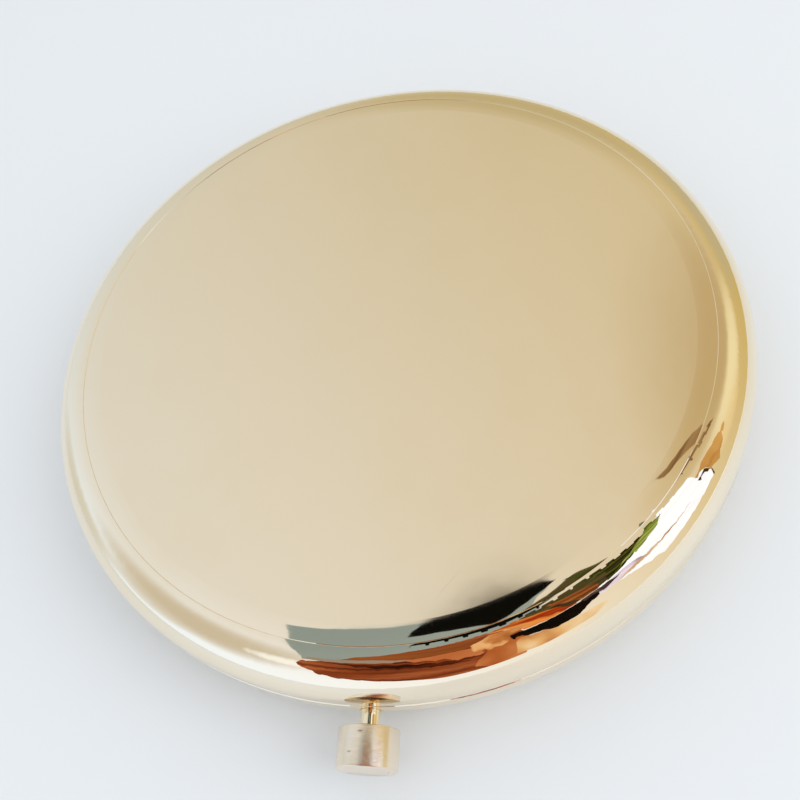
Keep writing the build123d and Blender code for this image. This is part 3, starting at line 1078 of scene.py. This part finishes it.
@dataclass
class Puff:
    """The powder puff: a velour pad, a gathered satin top, a piped seam and a finger ribbon."""

    pile_rows: int = 40
    turns: int = 192
    tufts: int = 90
    tuft_hairs: int = 40
    hair_length: float = 0.38 * MM
    grid: int = 64
    enlarge: float = 20.0
    surplus: float = 0.035
    pucker_cap: float = 0.42 * MM
    piping: float = 0.34 * MM
    ribbon_taper: float = 0.12
    stitch_half: int = 4
    stitch_stretch: float = 3.1
    thread: float = 0.11 * MM
    bulge: float = 0.55
    side_sweep: float = 0.62
    edge_lift: float = 0.35 * MM
    crown_power: float = 2.6
    settle_frames: int = 24
    ring_step: float = 0.6 * MM
    gathers: int = 46
    gather_depth: float = 0.09 * MM
    piping_strands: int = 120
    piping_steps: int = 720
    ribbon_cut: tuple[float, float] = (0.010, 0.0445)
    ribbon_sheet: float = 0.16 * MM
    ribbon_lift: float = 0.22 * MM

    def __post_init__(self) -> None:
        """Reads the puff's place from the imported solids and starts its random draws."""
        self.draw = random.Random(11)
        (_, _, self.base), (self.radius, _, self.seam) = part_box("puff_pile")
        self.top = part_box("puff_cover")[1][2]
        (_, ribbon_left, _), (self.ribbon_reach, ribbon_right, _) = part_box("puff_ribbon")
        self.ribbon_width = ribbon_right - ribbon_left

    def dome(self, radius: float) -> float:
        """The satin's height above the table.

        Args:
            radius: the distance from the puff's middle.

        Returns:
            The height, in metres.
        """
        share = min(1.0, radius / self.radius)
        edge = self.seam + self.edge_lift
        return edge + (self.top - edge) * (1 - share ** self.crown_power)

    def pile(self) -> None:
        """Builds the velour pad with a fringe of pile hairs round its side."""
        height = self.seam - self.base
        outline = [Vector((0, 0, self.base))]
        for row in range(self.pile_rows + 1):
            angle = -math.pi / 2 + math.pi * self.side_sweep * row / self.pile_rows
            out = self.radius - height * self.bulge + height * self.bulge * math.cos(angle)
            rise = self.base + height * self.bulge * (1 + math.sin(angle))
            outline.append(Vector((out, 0, min(rise, self.seam))))
        outline += [Vector((self.radius * 0.96, 0, self.seam)), Vector((0, 0, self.seam))]
        shape = lathe(outline, self.turns, Vector((0, 0, 1)), Vector())
        for vert in shape.verts:
            if vert.co.z < self.seam - 1e-6:
                vert.co += noise.noise_vector(vert.co * 1.4 / MM) * 0.05 * MM
        self.fringe(shape, height)
        velour = Fabric(
            "puff_velour_pile", Cloth.VELOUR, (0.84, 0.70, 0.60), (0.64, 0.48, 0.38), 0.12, 0.95, 0.45
        )
        made = piece("puff_pad", shape, velour.make(), "base", "puff_velour", "puff_pile")

    def fringe(self, shape: bmesh.types.BMesh, height: float) -> None:
        """Adds pile hairs round the pad's side: one tuft, repeated round the axis.

        Args:
            shape: the pad's mesh.
            height: the pad's thickness.
        """
        tuft = bmesh.new()
        bulge = height * self.bulge
        for _ in range(self.tuft_hairs):
            turn = self.draw.uniform(0, 2 * math.pi / self.tufts)
            tilt = self.draw.uniform(-1.0, 0.55)
            across = Vector((math.cos(turn), math.sin(turn), 0))
            root = across * (self.radius - bulge + bulge * math.cos(tilt))
            root.z = self.base + bulge * (1 + math.sin(tilt))
            lean = Vector([self.draw.uniform(-0.5, 0.5) for _ in range(3)])
            look = (across * math.cos(tilt) + Vector((0, 0, math.sin(tilt))) + lean).normalized()
            length = self.hair_length * self.draw.uniform(0.6, 1.1)
            stand = look.to_track_quat("Z", "Y").to_matrix().to_4x4()
            bmesh.ops.create_cone(
                tuft,
                cap_ends=True,
                segments=3,
                radius1=0.035 * MM,
                radius2=0.006 * MM,
                depth=length,
                matrix=Matrix.Translation(root + look * length * 0.35) @ stand,
            )
        bmesh.ops.spin(
            tuft,
            geom=tuft.verts[:] + tuft.edges[:] + tuft.faces[:],
            axis=(0, 0, 1),
            cent=(0, 0, 0),
            angle=2 * math.pi * (self.tufts - 1) / self.tufts,
            steps=self.tufts - 1,
            use_duplicate=True,
        )
        hairs = bpy.data.meshes.new("pile_hairs")
        tuft.to_mesh(hairs)
        tuft.free()
        shape.from_mesh(hairs)
        bpy.data.meshes.remove(hairs)

    def gathered(self) -> bmesh.types.BMesh:
        """Lays a disc of satin and lets cloth simulation pucker it where its rim is held.

        Returns:
            The disc, enlarged, with the simulation's shape.
        """
        shape = bmesh.new()
        bmesh.ops.create_grid(shape, x_segments=self.grid, y_segments=self.grid, size=1.0)
        for vert in shape.verts:
            x, y = vert.co.x, vert.co.y
            spot = Vector((x * math.sqrt(1 - y * y / 2), y * math.sqrt(1 - x * x / 2), 0))
            vert.co = spot * self.radius * self.enlarge
            vert.co.z = 0.004 * noise.noise(vert.co * 30)
        rim = [v.index for v in shape.verts if v.is_boundary]
        mesh = bpy.data.meshes.new("satin_cut")
        shape.to_mesh(mesh)
        cut = bpy.data.objects.new("satin_cut", mesh)
        bpy.context.scene.collection.objects.link(cut)
        group = cut.vertex_groups.new(name="held")
        group.add(rim, 1.0, "REPLACE")
        cloth = cut.modifiers.new("cloth", "CLOTH")
        settings = cloth.settings
        settings.quality = 5
        settings.mass = 0.15
        settings.tension_stiffness = settings.compression_stiffness = 20
        settings.shear_stiffness = 10
        settings.bending_stiffness = 0.02
        settings.shrink_min = -self.surplus
        settings.vertex_group_mass = "held"
        settings.use_pressure = True
        settings.uniform_pressure_force = 1.5
        settings.effector_weights.gravity = 0
        for number in range(1, self.settle_frames + 1):
            bpy.context.scene.frame_set(number)
        settled = cut.evaluated_get(bpy.context.evaluated_depsgraph_get())
        shape.free()
        shape = bmesh.new()
        shape.from_mesh(settled.to_mesh())
        settled.to_mesh_clear()
        bpy.data.objects.remove(cut)
        bpy.context.scene.frame_set(1)
        return shape

    def cover(self) -> None:
        """Builds the satin top: the simulated puckers laid over the pad's crown, closed underneath."""
        shape = self.gathered()
        rings: dict[int, list[float]] = {}
        for vert in shape.verts:
            vert.co /= self.enlarge
            rings.setdefault(round(vert.co.xy.length / self.ring_step), []).append(vert.co.z)
        level = {ring: sum(heights) / len(heights) for ring, heights in rings.items()}
        for vert in shape.verts:
            out = vert.co.xy.length
            near = round(out / self.ring_step)
            ease = math.sin(math.pi * min(1.0, out / self.radius) ** 2.0) ** 0.5
            pucker = max(-self.pucker_cap, min(self.pucker_cap, 1.7 * (vert.co.z - level[near])))
            turn = math.atan2(vert.co.y, vert.co.x)
            wave = math.sin(self.gathers * turn + 2.4 * math.sin(5 * turn))
            gather = self.gather_depth * wave * (out / self.radius) ** 6
            vert.co.z = self.dome(out) + pucker * ease + gather
        rim = [e for e in shape.edges if e.is_boundary]
        grown = bmesh.ops.extrude_edge_only(shape, edges=rim)["geom"]
        lower = [g for g in grown if isinstance(g, bmesh.types.BMVert)]
        for vert in lower:
            vert.co.z = self.seam + 0.02 * MM
        bmesh.ops.holes_fill(shape, edges=[e for e in shape.edges if e.is_boundary], sides=0)
        satin = Fabric(
            "puff_satin_weave", Cloth.SATIN, (0.84, 0.72, 0.61), (0.66, 0.50, 0.39), 0.26, 0.33, 0.2
        )
        made = piece("puff_top", shape, satin.make(), "base", "puff_satin", "puff_cover")
        smooth = made.modifiers.new("smooth", "SUBSURF")
        smooth.levels = smooth.render_levels = 1

    def seam_piping(self) -> None:
        """Builds the twisted cord that is sewn in round the puff's edge."""
        shape = bmesh.new()
        middle = Vector((self.radius - 0.1 * MM, 0, self.seam + 0.12 * MM))
        bmesh.ops.create_circle(
            shape,
            segments=12,
            radius=self.piping,
            matrix=Matrix.Translation(middle) @ Matrix.Rotation(math.pi / 2, 4, "X"),
        )
        bmesh.ops.spin(
            shape,
            geom=shape.verts[:] + shape.edges[:],
            axis=(0, 0, 1),
            cent=(0, 0, 0),
            angle=2 * math.pi,
            steps=self.piping_steps,
            use_merge=True,
        )
        for vert in shape.verts:
            turn = math.atan2(vert.co.y, vert.co.x)
            flat = vert.co.copy()
            flat.z = 0
            ring = flat.normalized() * middle.x + Vector((0, 0, middle.z))
            around = math.atan2(vert.co.z - ring.z, flat.length - middle.x)
            strand = 1 + 0.10 * math.sin(2 * around + self.piping_strands * turn)
            vert.co = ring + (vert.co - ring) * strand
        cord = Fabric("puff_piping_cord", Cloth.CORD, (0.74, 0.58, 0.44), (0.50, 0.34, 0.23), 0.5, 0.42, 0.2)
        made = piece("puff_piping", shape, cord.make(), "base", "puff_satin")

    def ribbon(self) -> None:
        """Builds the finger ribbon over the puff."""
        shape = bmesh.new()
        bmesh.ops.create_grid(shape, x_segments=96, y_segments=24, size=1.0)
        reach = self.ribbon_reach + self.piping * 0.8
        for vert in shape.verts:
            along, across = vert.co.x, vert.co.y
            narrow = 1 - self.ribbon_taper * abs(along) ** 4
            lift = self.ribbon_lift * (1 - along ** 2) + 0.16 * MM
            pleat = 0.09 * MM * math.cos(across * 9) * abs(along) ** 5
            selvedge = 0.05 * MM * abs(across) ** 10
            sag = 0.05 * MM * math.sin(3.1 * along + 2.0 * across)
            x = along * reach
            top = self.dome(min(abs(x), self.radius))
            drop = max(0.0, abs(x) - self.radius * 0.985) * 1.2
            vert.co = Vector(
                (x, across * narrow * self.ribbon_width / 2, top + lift + pleat + selvedge + sag - drop)
            )
        grosgrain = Fabric(
            "ribbon_grosgrain", Cloth.GROSGRAIN, (0.70, 0.45, 0.33), (0.44, 0.24, 0.16), 0.42, 0.40, 0.2
        )
        made = piece("finger_ribbon", shape, grosgrain.make(), "base", "ribbon_satin", "puff_ribbon")
        thick = made.modifiers.new("sheet", "SOLIDIFY")
        thick.thickness = self.ribbon_sheet
        thick.offset = 1.0

    def stitches(self) -> None:
        """Sews each end of the ribbon down with a row of thread loops just inside the piping."""
        shape = bmesh.new()
        numbers = range(-self.stitch_half, self.stitch_half + 1)
        rows = [(side, number) for side in (-1, 1) for number in numbers]
        for side, number in rows:
            x = side * self.radius * 0.94
            y = number * self.ribbon_width * 0.86 / (2 * self.stitch_half + 1)
            z = self.dome(abs(x)) + 0.30 * MM
            lay = Matrix.Translation((x, y, z)) @ Matrix.Rotation(math.pi / 2, 4, "X")
            bmesh.ops.create_uvsphere(
                shape,
                u_segments=10,
                v_segments=8,
                radius=self.thread,
                matrix=lay @ Matrix.Diagonal((1, 1, self.stitch_stretch, 1)),
            )
        thread = Fabric("stitch_thread", Cloth.VELOUR, (0.80, 0.62, 0.48), (0.55, 0.38, 0.27), 0.08, 0.5, 0.2)
        made = piece("ribbon_stitches", shape, thread.make(), "base", "ribbon_satin")
        LOG.info("sewn %s", made.name)

    def build(self) -> None:
        """Builds the whole puff."""
        self.pile()
        self.cover()
        self.seam_piping()
        self.ribbon()
        self.stitches()


def main() -> None:
    """Builds the studio and every sub-assembly."""
    Studio().build()
    for part in (Case(), PushButton(), Hinge(), Springs(), PowderPan(), Puff()):
        part.build()
        LOG.info("finished %s", type(part).__name__)


if __name__ == "__main__":
    logging.basicConfig(level=logging.INFO, format="%(message)s")
    main()
